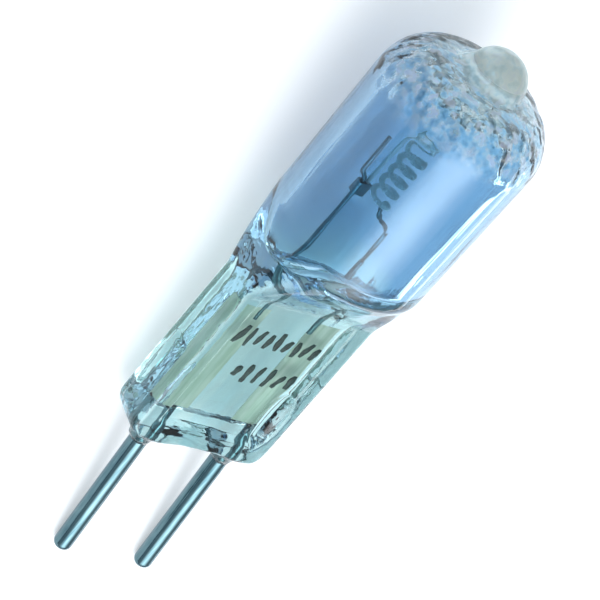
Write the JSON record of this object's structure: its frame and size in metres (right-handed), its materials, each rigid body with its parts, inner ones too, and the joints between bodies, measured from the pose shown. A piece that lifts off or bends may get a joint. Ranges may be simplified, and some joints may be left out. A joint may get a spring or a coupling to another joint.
{
  "type": "halogen capsule bulb",
  "caption": "Halogen capsule bulb of clear quartz glass: flat pinch seal with contact pins, coil filament on inner leads and a melted exhaust tip on the dome.",
  "frame": {"origin": "on the lamp's axis, on the flat foot of the pinch seal between the pins", "axes": "+X towards the dome, +Z out of the upper flat face of the seal; the lamp's axis rises 9.8 degrees from +X because the lamp lies on its pin tips and the lower edge of its bulb"},
  "size_m": [0.0448, 0.0114, 0.013],
  "materials": {
    "quartz_glass": "clear polished, light blue",
    "pin_metal": "bright drawn",
    "lead_metal": "drawn",
    "coil_metal": "drawn",
    "foil_metal": "rolled"
  },
  "bodies": {
    "root": {"quartz_envelope": "quartz_glass", "filament": "coil_metal", "support_wire": "lead_metal", "lead_crimp": "lead_metal", "short_lead": "lead_metal", "foil_left": "foil_metal", "foil_right": "foil_metal", "pin_left": "pin_metal", "pin_right": "pin_metal"}
  },
  "joints": []
}
